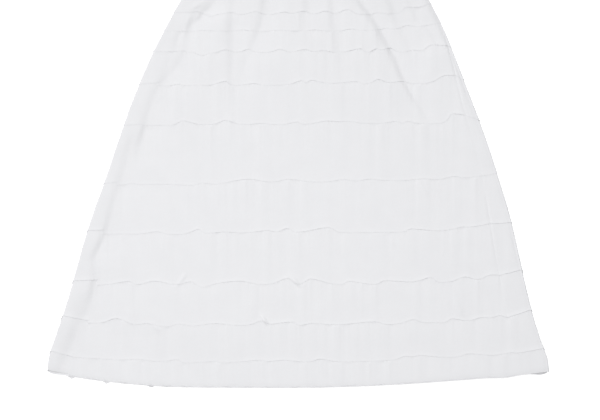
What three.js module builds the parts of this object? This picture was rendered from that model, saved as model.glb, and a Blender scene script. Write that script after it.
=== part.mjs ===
// A white tiered ruffle skirt laid out flat: eleven tiers, each cut as a front and a back piece and joined at the side
// seams, under a plain elastic waistband. Each tier's free lower edge ripples over the top of the tier below it.
// Millimetres, +Z up. The skirt lies on z = 0, its waist towards +Y, its hem towards -Y, its right side seam at +X.

import * as THREE from "three";

// Driving sizes
const LENGTH = 708; // top of the waistband to the hem, on the centre line
const BAND_HEIGHT = 30;
const WALL = 1; // cloth of the tiers
const BAND_WALL = 2.2; // casing folded over its elastic
const SEAM_GAP = 0.3; // between two pieces sewn edge to edge

// How the tiers overlap
const TUCK = 6; // how far a tier runs up under the tier above
const FRONT_TUCK_DEPTH = 1.4; // how far a front tier's hidden edge lies below the outer face
const BACK_TUCK_DEPTH = 1.9; // the same on the back, which is back on the table after BACK_RAMP
const FRONT_CLEAR = 6; // a front tier stays that deep until this far past the edge above it
const BACK_RAMP = 20;
const LIP = 8; // the strip of a front tier along its free edge that flares in the ripples
const TALL_TIER = 60; // a tier at least this tall gets one more row of facets

// How high the flattened skirt stands
const SIDE_HEIGHT = 6.8; // over the round of cloth at each side
const MIDDLE_HEIGHT = 5.7;
const WAIST_HEIGHT = 8.6; // where the gathers hold the cloth up
const SIDE_GATHER_REACH = 190; // below the waist, where that lift has died away at the sides
const GATHER_REACH = 330; // and in the middle
const SIDE_SHARPNESS = 8; // how close to the sides the middle rises to their height

// Facets
const FRONT_COLUMNS = 48;
const BACK_COLUMNS = 24;
const ROUND_COLUMNS = 4;
const RETURN_COLUMNS = 2;

// Tier edges: centre is the free edge's distance below the top of the waistband, on the centre line; left and right are
// how much nearer the waist it ends at each side; lift is how far its ripples stand off the tier below; crests is the x
// of each ripple across the front.
const TIERS = [
  { centre: 109.5, left: 3, right: 14, lift: 1.4, crests: [-110, -71, -23, 6, 63, 121, 178] },
  { centre: 138.5, left: 0, right: 15, lift: 0.9, crests: [-158, -112, -68, -30, 14, 60, 104, 152, 196] },
  { centre: 171, left: 1, right: 12, lift: 1.8, crests: [-186, -119, -81, -33, 6, 34, 63, 102, 150, 178, 226] },
  { centre: 221, left: -4, right: 14, lift: 1.8, crests: [-196, -134, -94, -54, -4, 25, 92, 127, 159, 236] },
  { centre: 285, left: -4, right: 16, lift: 1.4, crests: [-215, -186, -110, -60, -4, 34, 92, 130, 178, 207] },
  { centre: 377.5, left: -3, right: 14, lift: 1.2, crests: [-273, -154, -129, -86, 10, 82, 154, 236] },
  { centre: 458.5, left: 0, right: 14, lift: 2, crests: [-234, -162, -124, -62, -28, 39, 130, 183, 207, 274] },
  { centre: 541, left: 2, right: 18, lift: 2.6, crests: [-286, -230, -182, -94, -58, -14, 18, 82, 154, 202, 265, 303] },
  { centre: 606.5, left: 7, right: 20, lift: 2.4, crests: [-302, -196, -134, -62, -28, 6, 73, 114, 169, 246, 294] },
  { centre: 665.5, left: 13, right: 20, lift: 1.6, crests: [-254, -196, -138, -76, -23, 73, 128, 182, 236, 284] },
  { centre: LENGTH, left: 24, right: 24, lift: 0, crests: [] },
];
const CREST_SPREAD = 0.02; // half width of a ripple, as a share of the tier's width
const CREST_SHIFT = 1.1; // how far up a ripple draws the edge, for each millimetre that it stands off
const CREST_DIP = 1 / 3; // how far the edge hangs down again between ripples, as a share of that
const SEAM_FADE = 0.3; // below 1, ripples reach nearly to the seams that end them
const FRONT_BEND = { left: 4, right: 2.3 }; // how sharply a front tier's edge turns up towards each side
const BACK_BEND = { left: 6, right: 3.5 }; // sharper, so the back hem shows below the front one at the corners
const BACK_RIPPLES = 5;
const BACK_RIPPLE = 2; // how far a back tier's edge wanders, pressed flat
const MAX_RAMP = 0.65; // of a back tier's height

// The outline: x of each side at a distance below the waist, and how far in from it the side seam runs.
const OUTLINE = [
  { below: 0, left: -148, right: 172, leftSeam: 14, rightSeam: 10 },
  { below: 30, left: -148, right: 172, leftSeam: 14, rightSeam: 10 },
  { below: 88, left: -186, right: 208, leftSeam: 22, rightSeam: 10 },
  { below: 184, left: -237, right: 251, leftSeam: 30, rightSeam: 11 },
  { below: 280, left: -275.5, right: 287.5, leftSeam: 32, rightSeam: 19 },
  { below: 376, left: -309.5, right: 319.5, leftSeam: 32, rightSeam: 27 },
  { below: 472, left: -340.5, right: 347, leftSeam: 33, rightSeam: 34 },
  { below: 568, left: -367, right: 369.5, leftSeam: 36, rightSeam: 38 },
  { below: 626, left: -386, right: 385.5, leftSeam: 39, rightSeam: 38 },
  { below: 660, left: -397.5, right: 396.5, leftSeam: 41, rightSeam: 38 },
  { below: 684, left: -400, right: 400, leftSeam: 42, rightSeam: 38 },
];
const SEAM_ACROSS = 0.9; // where the side seams lie for the bend of the edges, -1 and 1 being the sides

// Folds that run down from the gathered waist: x of the trough at the band and at its end, which is reach below the
// waist, how deep it is and how wide to each side.
const FOLDS = [
  { top: -128, end: -192, reach: 150, depth: 1.4, spread: 8 },
  { top: -105, end: -198, reach: 215, depth: 2.2, spread: 11 },
  { top: -92, end: -110, reach: 275, depth: 2.2, spread: 9 },
  { top: -45, end: -92, reach: 215, depth: 2, spread: 9 },
  { top: -20, end: -22, reach: 140, depth: 1.2, spread: 7 },
  { top: 6, end: 12, reach: 190, depth: 2, spread: 8 },
  { top: 40, end: 76, reach: 275, depth: 1.9, spread: 9 },
  { top: 58, end: 192, reach: 300, depth: 2.8, spread: 10 },
  { top: 112, end: 188, reach: 225, depth: 2.4, spread: 9 },
  { top: 142, end: 204, reach: 155, depth: 1.5, spread: 8 },
];
const FOLD_BOW = 0.85; // below 1, a fold swings out near the waist and hangs straighter below
const FOLD_HOLD = 0.3; // share of its length over which a fold keeps its full depth

// Two waves that add up to uneven ripples: how much of them each is, how fast it runs and where it starts.
const WAVES = [
  { share: 0.68, pace: 1, phase: 0.37 },
  { share: 0.32, pace: 0.61, phase: 0.73 },
];

// Waistband gathers
const BAND_GATHERS = 24;
const BAND_GATHER_DEPTH = 0.7;
const BAND_COLUMNS = 72;
const BAND_BACK_COLUMNS = 12;

const CLOTH = new THREE.MeshStandardMaterial({ color: 0xececee, roughness: 0.92, metalness: 0 });
const BAND_CLOTH = new THREE.MeshStandardMaterial({ color: 0xe9e9eb, roughness: 0.95, metalness: 0 });

const { lerp, clamp, smoothstep } = THREE.MathUtils;

// Evenly spaced shares from 0 to 1, ends included.
const shares = (count) => Array.from({ length: count + 1 }, (_, i) => i / count);

// A column of OUTLINE at a distance below the waist, on a smooth curve through the rows.
function tableAt(below, column) {
  const last = OUTLINE.length - 1;
  const at = clamp(below, OUTLINE[0].below, OUTLINE[last].below);
  const row = clamp(OUTLINE.findLastIndex((r) => r.below <= at), 0, last - 1);
  const slope = (k) => {
    const a = OUTLINE[Math.max(k - 1, 0)];
    const b = OUTLINE[Math.min(k + 1, last)];
    return (b[column] - a[column]) / (b.below - a.below);
  };
  const step = OUTLINE[row + 1].below - OUTLINE[row].below;
  const t = (at - OUTLINE[row].below) / step;
  const rise = OUTLINE[row + 1][column] - OUTLINE[row][column];
  const start = slope(row) * step;
  const end = slope(row + 1) * step;
  return OUTLINE[row][column] + t * start + t * t * (3 * rise - 2 * start - end) + t ** 3 * (start + end - 2 * rise);
}

// A tier's free edge, below the waist. across is -1 at the left side and 1 at the right.
function edgeBelow(tier, across, bend) {
  const side = across < 0 ? "left" : "right";
  return tier.centre - tier[side] * Math.abs(across) ** bend[side];
}

// Where tier k starts below the edge above it, or below the waistband.
const startBelow = (k, across, bend) => (k > 0 ? edgeBelow(TIERS[k - 1], across, bend) : BAND_HEIGHT + SEAM_GAP);

// The side of the flattened skirt, straight from one tier's edge to the next. sign is -1 on the left and 1 on the right.
function sideX(sign, below) {
  const column = sign < 0 ? "left" : "right";
  const knots = [0, BAND_HEIGHT, ...TIERS.map((tier) => edgeBelow(tier, sign, FRONT_BEND))];
  const i = clamp(knots.findLastIndex((knot) => knot <= below), 0, knots.length - 2);
  const share = (below - knots[i]) / (knots[i + 1] - knots[i]);
  return lerp(tableAt(knots[i], column), tableAt(knots[i + 1], column), share);
}

// The side seam of tier k, a straight line from its hidden edge to its free edge; k is -1 for the waistband.
function seamX(sign, below, k) {
  const column = sign < 0 ? "left" : "right";
  const at = (v) => tableAt(v, column) - sign * tableAt(v, `${column}Seam`);
  if (k < 0) return at(below);
  const start = startBelow(k, sign * SEAM_ACROSS, FRONT_BEND) - TUCK;
  const end = edgeBelow(TIERS[k], sign * SEAM_ACROSS, FRONT_BEND);
  return lerp(at(start), at(end), (below - start) / (end - start));
}

// Height of the cloth over the round at the sides.
function sideHeight(below) {
  return lerp(WAIST_HEIGHT, SIDE_HEIGHT, smoothstep(below, BAND_HEIGHT, SIDE_GATHER_REACH));
}

// Height of the front's outer face over the table, at a share u from the left seam to the right one: lifted by the
// gathers, cut by their folds, and rising to the sides.
function frontHeight(x, below, u) {
  const lifted = (WAIST_HEIGHT - MIDDLE_HEIGHT) * (1 - smoothstep(below, BAND_HEIGHT, GATHER_REACH));
  const troughs = FOLDS.reduce((sum, fold) => {
    const run = clamp((below - BAND_HEIGHT) / (fold.reach - BAND_HEIGHT), 0, 1);
    const from = (x - lerp(fold.top, fold.end, run ** FOLD_BOW)) / fold.spread;
    return sum + fold.depth * (1 - smoothstep(run, FOLD_HOLD, 1)) * Math.exp(-from * from);
  }, 0);
  const middle = MIDDLE_HEIGHT + lifted - Math.min(troughs, lifted);
  return lerp(middle, sideHeight(below), Math.abs(2 * u - 1) ** SIDE_SHARPNESS);
}

// Uneven ripples, from 0 to 1, with about count crests as u goes from 0 to 1, dying away at both ends.
function ripple(u, count, seed) {
  const wave = ({ share, pace, phase }) => share * Math.sin(2 * Math.PI * (pace * count * u + phase * seed));
  return 0.5 * (1 + wave(WAVES[0]) + wave(WAVES[1])) * fadeAt(u);
}

// 0 at both ends of a piece and 1 in its middle.
const fadeAt = (u) => Math.sin(Math.PI * u) ** SEAM_FADE;

// Stations round the back of the flattened ring, from the left seam on top, round under it, to the right seam on top.
// Each gives x and z at a distance below the waist and a depth inside the outer face, for tier k.
function backStations(bottomColumns) {
  const radiusAt = (below) => sideHeight(below) / 2;
  const atReturn = (sign, share) => (below, depth, k) => {
    const seam = seamX(sign, below, k) + sign * SEAM_GAP;
    return [lerp(seam, sideX(sign, below) - sign * radiusAt(below), share), sideHeight(below) - depth];
  };
  const atRound = (sign, turn) => (below, depth) => {
    const radius = radiusAt(below);
    const x = sideX(sign, below) - sign * radius + sign * (radius - depth) * Math.sin(turn * Math.PI);
    return [x, radius + (radius - depth) * Math.cos(turn * Math.PI)];
  };
  const atBottom = (share) => (below, depth) => {
    const radius = radiusAt(below);
    return [lerp(sideX(-1, below) + radius, sideX(1, below) - radius, share), depth];
  };
  const side = (sign) => [
    ...shares(RETURN_COLUMNS).map((share) => ({ across: sign * lerp(SEAM_ACROSS, 1, share), at: atReturn(sign, share) })),
    ...shares(ROUND_COLUMNS)
      .slice(1, -1)
      .map((turn) => ({ across: sign, at: atRound(sign, turn) })),
  ];
  const bottom = shares(bottomColumns).map((share) => ({ across: 2 * share - 1, under: share, at: atBottom(share) }));
  return [...side(-1), ...bottom, ...side(1).reverse()];
}

// A point of a station, with y counted from the middle of the skirt's length.
const yAt = (below) => LENGTH / 2 - below;
function place(station, below, depth, k) {
  const [x, z] = station.at(below, depth, k);
  return [x, yAt(below), z];
}

// A closed solid from corner points and its faces, each a loop of four corners seen from outside.
function solid(points, faces) {
  const geometry = new THREE.BufferGeometry();
  geometry.setAttribute("position", new THREE.Float32BufferAttribute(points.flat(), 3));
  geometry.setIndex(faces.flatMap(([a, b, c, d]) => [a, b, c, a, c, d]));
  geometry.computeVertexNormals();
  return geometry;
}

// A closed wall between two grids of points that match row by row and column by column, the first one on top.
function wallBetween(upper, lower) {
  const rows = upper.length;
  const columns = upper[0].length;
  const under = rows * columns;
  const faces = [];
  for (let r = 0; r < rows - 1; r++) {
    for (let c = 0; c < columns - 1; c++) {
      const a = r * columns + c;
      const d = a + columns;
      faces.push([a, d, d + 1, a + 1], [under + a, under + a + 1, under + d + 1, under + d]);
    }
  }
  const rim = [];
  for (let c = 0; c < columns - 1; c++) rim.push(c);
  for (let r = 0; r < rows - 1; r++) rim.push(r * columns + columns - 1);
  for (let c = columns - 1; c > 0; c--) rim.push((rows - 1) * columns + c);
  for (let r = rows - 1; r > 0; r--) rim.push(r * columns);
  rim.forEach((a, i) => {
    const b = rim[(i + 1) % rim.length];
    faces.push([a, b, under + b, under + a]);
  });
  return solid([...upper.flat(), ...lower.flat()], faces);
}

// How much of its lift a tier's edge has at x: 1 on a crest, falling to a little below 0 between crests.
function crestAt(tier, x, u) {
  const spread = CREST_SPREAD * (seamX(1, tier.centre, -1) - seamX(-1, tier.centre, -1));
  const crest = tier.crests.reduce((most, at) => Math.max(most, Math.exp(-(((x - at) / spread) ** 2))), 0);
  return lerp(-CREST_DIP, 1, crest) * fadeAt(u);
}

// The front piece of tier k, from seam to seam. Its rows are its hidden edge, a row just clear of the edge above, the
// start of its lip and its free edge, with one more in the middle of a tall tier. The rows at an edge take the height
// of that edge, so that the overlapping strips lie parallel.
function frontTier(k) {
  const tier = TIERS[k];
  const depth = k > 0 ? FRONT_TUCK_DEPTH : (BAND_WALL - WALL) / 2;
  const startAt = (u) => startBelow(k, lerp(-SEAM_ACROSS, SEAM_ACROSS, u), FRONT_BEND);
  const endAt = (u) => edgeBelow(tier, lerp(-SEAM_ACROSS, SEAM_ACROSS, u), FRONT_BEND);
  const xAt = (u, below, of) => lerp(seamX(-1, below, of), seamX(1, below, of), u);
  const heightAt = (u, below, of) => frontHeight(xAt(u, below, of), below, u);
  const start = (u) => heightAt(u, startAt(u), k - 1) - depth;
  const end = (u) => heightAt(u, endAt(u), k);
  const middle = { below: (u) => (startAt(u) + endAt(u)) / 2, z: (u) => heightAt(u, (startAt(u) + endAt(u)) / 2, k) };
  const rows = [
    { below: (u) => startAt(u) - (k > 0 ? TUCK : 0), z: start },
    { below: (u) => startAt(u) + FRONT_CLEAR, z: start },
    ...(endAt(0.5) - startAt(0.5) >= TALL_TIER ? [middle] : []),
    { below: (u) => endAt(u) - LIP, z: end },
    {
      below: (u) => endAt(u) - CREST_SHIFT * tier.lift * crestAt(tier, xAt(u, endAt(u), k), u),
      z: (u) => end(u) + tier.lift * Math.max(crestAt(tier, xAt(u, endAt(u), k), u), 0),
    },
  ];
  const grid = (wall) =>
    rows.map((row) => shares(FRONT_COLUMNS).map((u) => [xAt(u, row.below(u), k), yAt(row.below(u)), row.z(u) - wall]));
  return wallBetween(grid(0), grid(WALL));
}

// The back piece of tier k: flat under the skirt, round both sides, and back over the top as far as the side seams. Its
// edge follows the front's on top and its own bend underneath, where it wanders a little.
function backTier(k) {
  const bendAt = (station) => (station.under === undefined ? FRONT_BEND : BACK_BEND);
  const startAt = (station) => startBelow(k, station.across, bendAt(station));
  const endAt = (station) =>
    edgeBelow(TIERS[k], station.across, bendAt(station)) - BACK_RIPPLE * ripple(station.under ?? 0, BACK_RIPPLES, k);
  const rampTo = (station) => startAt(station) + Math.min(BACK_RAMP, MAX_RAMP * (endAt(station) - startAt(station)));
  const depth = k > 0 ? BACK_TUCK_DEPTH : (BAND_WALL - WALL) / 2;
  const stations = backStations(BACK_COLUMNS);
  const grid = (wall) => [
    stations.map((station) => place(station, startAt(station) - (k > 0 ? TUCK : 0), depth + wall, k)),
    stations.map((station) => place(station, rampTo(station), wall, k)),
    stations.map((station) => place(station, endAt(station), wall, k)),
  ];
  return wallBetween(grid(WALL), grid(0));
}

// The waistband: one closed ring of casing, flattened, gathered all along its front.
function waistband() {
  const front = shares(BAND_COLUMNS)
    .slice(1, -1)
    .map((u) => ({
      at: (below, depth, k) => {
        const gather = BAND_GATHER_DEPTH * ripple(u, BAND_GATHERS, 1);
        return [lerp(seamX(-1, below, k), seamX(1, below, k), u), sideHeight(below) - gather - depth];
      },
    }));
  const around = [...backStations(BAND_BACK_COLUMNS), ...front.reverse()];
  const ring = (below, depth) => around.map((station) => place(station, below, depth, -1));
  const loops = [ring(0, 0), ring(0, BAND_WALL), ring(BAND_HEIGHT, BAND_WALL), ring(BAND_HEIGHT, 0)];
  const corner = (loop, station) => (loop % loops.length) * around.length + (station % around.length);
  const faces = loops.flatMap((_, r) =>
    around.map((_, c) => [corner(r, c), corner(r + 1, c), corner(r + 1, c + 1), corner(r, c + 1)]),
  );
  return solid(loops.flat(), faces);
}

function piece(name, geometry, material) {
  const mesh = new THREE.Mesh(geometry, material);
  mesh.name = name;
  return mesh;
}

const skirt = new THREE.Group();
skirt.add(piece("waistband", waistband(), BAND_CLOTH));
TIERS.forEach((_, k) => {
  const number = String(k + 1).padStart(2, "0");
  skirt.add(piece(`front_tier_${number}`, frontTier(k), CLOTH));
  skirt.add(piece(`back_tier_${number}`, backTier(k), CLOTH));
});

export default skirt;
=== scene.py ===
"""A white tiered ruffle skirt laid out flat, seen from straight above.

The skirt is a flattened ring of eleven tiers under an elastic waistband. Each tier is a thin shell of
cotton whose free lower edge ripples over the tier below it, and its front and back pieces meet at the side
seams.
Lengths are millimetres except in the studio and the finishes, where they are metres. x runs to the skirt's
right, and below is the distance down from the waist.
"""

import logging
import math
from dataclasses import dataclass, field
from enum import Enum
from typing import TypeVar

import bpy
import numpy as np
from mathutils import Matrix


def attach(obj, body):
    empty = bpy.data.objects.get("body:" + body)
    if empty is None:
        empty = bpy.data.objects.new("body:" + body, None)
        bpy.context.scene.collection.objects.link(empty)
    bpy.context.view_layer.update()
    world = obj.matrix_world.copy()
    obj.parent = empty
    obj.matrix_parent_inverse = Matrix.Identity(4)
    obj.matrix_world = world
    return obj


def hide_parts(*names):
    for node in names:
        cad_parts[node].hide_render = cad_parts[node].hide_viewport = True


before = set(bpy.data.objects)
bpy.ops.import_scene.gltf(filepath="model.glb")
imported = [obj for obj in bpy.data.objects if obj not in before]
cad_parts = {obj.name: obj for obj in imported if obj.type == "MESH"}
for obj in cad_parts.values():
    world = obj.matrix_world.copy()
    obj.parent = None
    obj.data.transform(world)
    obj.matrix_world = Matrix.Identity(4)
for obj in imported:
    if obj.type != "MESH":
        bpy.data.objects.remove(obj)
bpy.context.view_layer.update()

LOG = logging.getLogger("skirt")
Row = TypeVar("Row")
MM = 0.001  # metres in a millimetre
LENGTH = 708.0
BAND_HEIGHT = 30.0
CORNER_LEVEL = 690.0  # below the waist, where the skirt is at its widest
BODY = "root"


class Side(Enum):
    """The two sides of the skirt, as the sign of x."""

    LEFT = -1
    RIGHT = 1


class Slot(Enum):
    """The record's material slots."""

    TIER = "tier_cotton"
    BAND = "band_cotton"


class Part(Enum):
    """The stretches of a back piece: on top from a seam to the side, round that side, and underneath."""

    TOP = "top"
    TURN = "turn"
    UNDER = "under"


@dataclass(frozen=True)
class OutlineRow:
    """The outline at one distance below the waist, and how far in from it the side seams run."""

    below: float
    left: float
    right: float
    left_seam: float
    right_seam: float


@dataclass(frozen=True)
class Crest:
    """One ripple of a free edge: where it is, how far up it draws the edge, and its width to each side.

    lift is how far it stands off the tier below besides what its rise gives.
    """

    at: float
    rise: float
    left: float
    right: float
    lift: float = 0.0


@dataclass(frozen=True)
class TierEdge:
    """The free edge of one tier.

    left and right are how much nearer the waist it ends at each side, and the bends how sharply it gets
    there. step is how much higher the back piece's edge sits beside the left seam, and left_end and
    right_end how much higher it sits where it goes round the sides. stand is how far the edge stands off
    the tier below between ripples.
    """

    centre: float
    left: float
    left_bend: float
    right: float
    right_bend: float
    step: float
    left_end: float
    right_end: float
    stand: float
    crests: tuple[Crest, ...]


@dataclass(frozen=True)
class FoldPoint:
    """One point of a fold's trough: where it is, how deep and how wide to each side."""

    below: float
    x: float
    depth: float
    spread: float


@dataclass(frozen=True)
class Fold:
    """A fold's trough through its points. Its right wall is far times as wide as its steep left one."""

    far: float
    points: tuple[FoldPoint, ...]


@dataclass(frozen=True)
class GrooveRow:
    """The groove inside the right edge, at one level: how deep, how far in from the edge and how wide."""

    below: float
    depth: float
    inset: float
    width: float


@dataclass(frozen=True)
class DepthRow:
    """How deep something is at one distance below the waist."""

    below: float
    depth: float


@dataclass(frozen=True)
class Crease:
    """A short pinched crease from one point to another."""

    x0: float
    below0: float
    x1: float
    below1: float
    height: float
    spread: float


def table(kind: type[Row], *rows: tuple[float, ...]) -> tuple[Row, ...]:
    """Make a table.

    Args:
        kind: the class of its rows, whose fields name its columns.
        rows: the rows' values, in the order of those fields.

    Returns:
        The rows.
    """
    return tuple(kind(*row) for row in rows)


def column(rows: tuple[Row, ...], name: str) -> np.ndarray:
    """One column of a table."""
    return np.array([getattr(row, name) for row in rows], float)


OUTLINE = table(
    OutlineRow,  # below, left, right, left_seam, right_seam
    (0, -148, 172, 14, 10),
    (30, -148, 172, 14, 10),
    (88, -188.5, 209.5, 24, 9.5),
    (136, -215, 234, 28, 5),
    (184, -239, 253, 32, 8),
    (256, -269, 280.5, 29, 18),
    (280, -277.5, 289.5, 31, 20),
    (331, -295, 307.5, 27, 23),
    (376, -310, 321.5, 22, 27),
    (427, -328.5, 337, 22, 33),
    (472, -343, 348, 28, 37),
    (568, -370, 369.5, 43, 41),
    (626, -389.5, 386, 44, 44),
    (660, -400.5, 398.5, 38, 46),
    (684, -402.5, 401.5, 33, 46),
)

RIGHT_SEAM_DITCH = table(
    DepthRow,  # below, depth
    (130, 0.3), (160, 0.7), (250, 0.7), (262, 0.5), (300, 0.2), (395, 0.2), (420, 0.75), (465, 0.75),
    (490, 0.5), (520, 0.25), (560, 0.15), (640, 0.0),
)
RIGHT_ROLL_OFF = table(
    DepthRow,  # below, depth
    (60, 2.2), (110, 3.2), (150, 3.0), (190, 1.8), (240, 1.4), (300, 0.8), (430, 0.5), (490, 0.9),
    (520, 0.5), (684, 0.7),
)
LEFT_ROLL_OFF = table(
    DepthRow,  # below, depth
    (60, 0.3), (684, 0.3),
)
RIGHT_EDGE_GROOVE = table(
    GrooveRow,  # below, depth, inset, width
    (60, 2.4, 0.4, 4.6), (88, 2.6, 0.2, 4.8), (120, 2.6, 0.2, 4.8), (145, 2.0, 0.8, 4.0),
    (165, 1.1, 3.4, 2.6), (190, 0.6, 4.6, 2.0), (250, 0.4, 4.6, 2.0), (300, 0.2, 4.4, 2.0),
    (460, 0.2, 4.4, 2.0), (480, 0.7, 4.4, 2.0), (500, 0.4, 4.4, 2.0), (560, 0.2, 4.4, 2.0),
    (684, 0.3, 4.4, 2.0),
)

HEM_BACK = table(
    Crest,  # at, rise, left, right
    (-396, -2.2, 10, 12), (-369, -5.0, 3.5, 4), (-311, -5.2, 4, 4), (-284, -2.4, 3, 3),
    (-238, -4.6, 6, 3.5), (-214, -4.6, 3.5, 3.5), (393, -5.0, 20, 12), (-330, -1.4, 50, 60),
    (-226, -1.4, 40, 34),
)

# Each edge: centre, left, left_bend, right, right_bend, step, left_end, right_end, stand and its crests,
# which are at, rise, left, right and lift.
EDGES = (
    TierEdge(111.5, 3, 3, 17, 6, 0, 0, 0, 0.35, table(
        Crest,
        (-193, 2.5, 10, 10), (-164, 3, 12, 8), (-140, -4, 8, 9), (-106, 3, 16, 6), (-70, 4.5, 11, 12),
        (-23, 4, 13, 9), (9, 5.5, 16, 9), (44, 5.5, 13, 9), (82, 8, 18, 8), (127, 3, 8, 12),
        (177, 7, 8, 22),
    )),
    TierEdge(138, 0, 3, 13, 3, 0, 0, 0, 0.12, table(
        Crest,
        (-150, 1.5, 12, 12), (-88, 2, 14, 10), (-30, 1.5, 12, 12), (26, 2, 14, 10), (84, 3, 12, 10),
        (140, 2, 12, 12), (175, 4, 10, 14),
    )),
    TierEdge(172, 1, 3, 9, 6, 0, 0, 0, 0.5, table(
        Crest,
        (-186, 2, 16, 6), (-154, -5, 10, 14), (-119, 4, 8, 13), (-81, 5.5, 10, 8), (-30, 5.3, 11, 9),
        (9, 4.5, 14, 12), (40, 3, 12, 12), (100, 6, 20, 5), (125, 5, 8, 6), (148, 7, 16, 7),
        (184, 3, 8, 8), (214, 8, 10, 30),
    )),
    TierEdge(224.5, -1, 3, 9, 4, 5, 3, 0, 0.35, table(
        Crest,
        (-193, 2, 8, 6), (-119, 6.5, 14, 8), (-71, 3, 16, 8), (4, 6.5, 14, 6), (18, 6.5, 5, 20),
        (92, 4, 26, 8), (128, 8, 11, 12), (166, 5, 20, 12), (238, 10, 18, 40), (60, 2.2, 60, 80, -0.16),
    )),
    TierEdge(287.5, -2, 3, 4, 3, 2, 1.2, 4, 0.3, table(
        Crest,
        (-188, 7, 7, 20), (-118, 7, 13, 16), (-60, 2, 18, 14), (-3, 4.3, 13, 8), (45, 5.5, 22, 20),
        (81, 3.5, 20, 12), (158, 4.3, 18, 6), (175, 4.5, 5, 12), (252, 15, 12, 40),
        (90, 2, 30, 60, -0.2),
    )),
    TierEdge(379.5, -5, 1.2, 14, 4, 5, 3, 0, 0.35, table(
        Crest,
        (-267, 2.5, 8, 8), (-153, 5, 10, 16), (-82, 6, 34, 26), (-20, 3, 14, 20), (70, 3.5, 16, 18),
        (110, 3, 8, 24), (200, 3, 22, 18), (250, 4, 18, 12), (-150, -4, 40, 34),
        (-4, 2.2, 24, 20, -0.12), (130, 1.8, 60, 60, -0.16),
    )),
    TierEdge(460.5, -2.5, 1.5, 14, 3.5, 7, 6.5, 2.5, 0.68, table(
        Crest,
        (-226, 4.5, 18, 12), (-160, 7.5, 14, 6), (-119, 2, 18, 16), (-50, 4, 22, 12), (-18, 7, 12, 8),
        (49, 8.5, 34, 11), (181, 5, 8, 26), (264, 4, 16, 10), (282, 3, 8, 14), (306, 5, 14, 30),
        (-196, -1.8, 50, 40),
    )),
    TierEdge(543.5, -1.5, 2, 16, 3.5, 9, 8, 8, 0.65, table(
        Crest,
        (-272, 6, 28, 8), (-231, 6.5, 18, 22), (-174, 5, 12, 10), (-154, -4.5, 10, 16), (-94, 6, 40, 20),
        (-16, 10, 20, 10), (20, 9.5, 11, 24), (80, 5.5, 6, 24), (138, 6, 8, 46), (213, 8.5, 20, 7),
        (268, 7, 16, 14), (310, 6.5, 14, 22),
    )),
    TierEdge(609, 2, 3, 19, 3.5, 4, 14, 6.5, 0.72, table(
        Crest,
        (-336, 2.5, 16, 14), (-295, 10.5, 19, 22), (-244, 4, 12, 18), (-194, 4.5, 8, 16),
        (-135, 3.5, 20, 24), (-59, 7, 15, 8), (-10, 6, 34, 6), (20, 3.5, 12, 30), (122, 5.5, 46, 12),
        (185, 6, 15, 10), (247, 6.5, 8, 18), (295, 5, 16, 16), (325, 5, 12, 9), (-205, -2.4, 46, 40),
        (196, 2.4, 60, 40, -0.1),
    )),
    TierEdge(667.5, 10, 3, 18, 2.6, 1, 8, 4, 0.6, table(
        Crest,
        (-254, 2.5, 22, 16), (-194, 5, 22, 6), (-135, 3, 30, 10), (-65, 3.5, 36, 14), (-25, 3.5, 18, 22),
        (34, 5, 11, 18), (170, 4, 10, 8), (196, 5, 24, 24), (274, 5, 12, 30), (345, 3, 20, 10),
        (-150, -2.8, 110, 70), (225, 3, 90, 60, -0.22), (-330, 0, 36, 36, 0.1),
    )),
    TierEdge(LENGTH + 0.8, 25, 3.6, 26, 1.7, 3.5, 3.5, 0, 0.0, table(
        Crest,
        (330, -2.4, 22, 20), (-205, -0.8, 60, 60),
    )),
)

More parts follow.
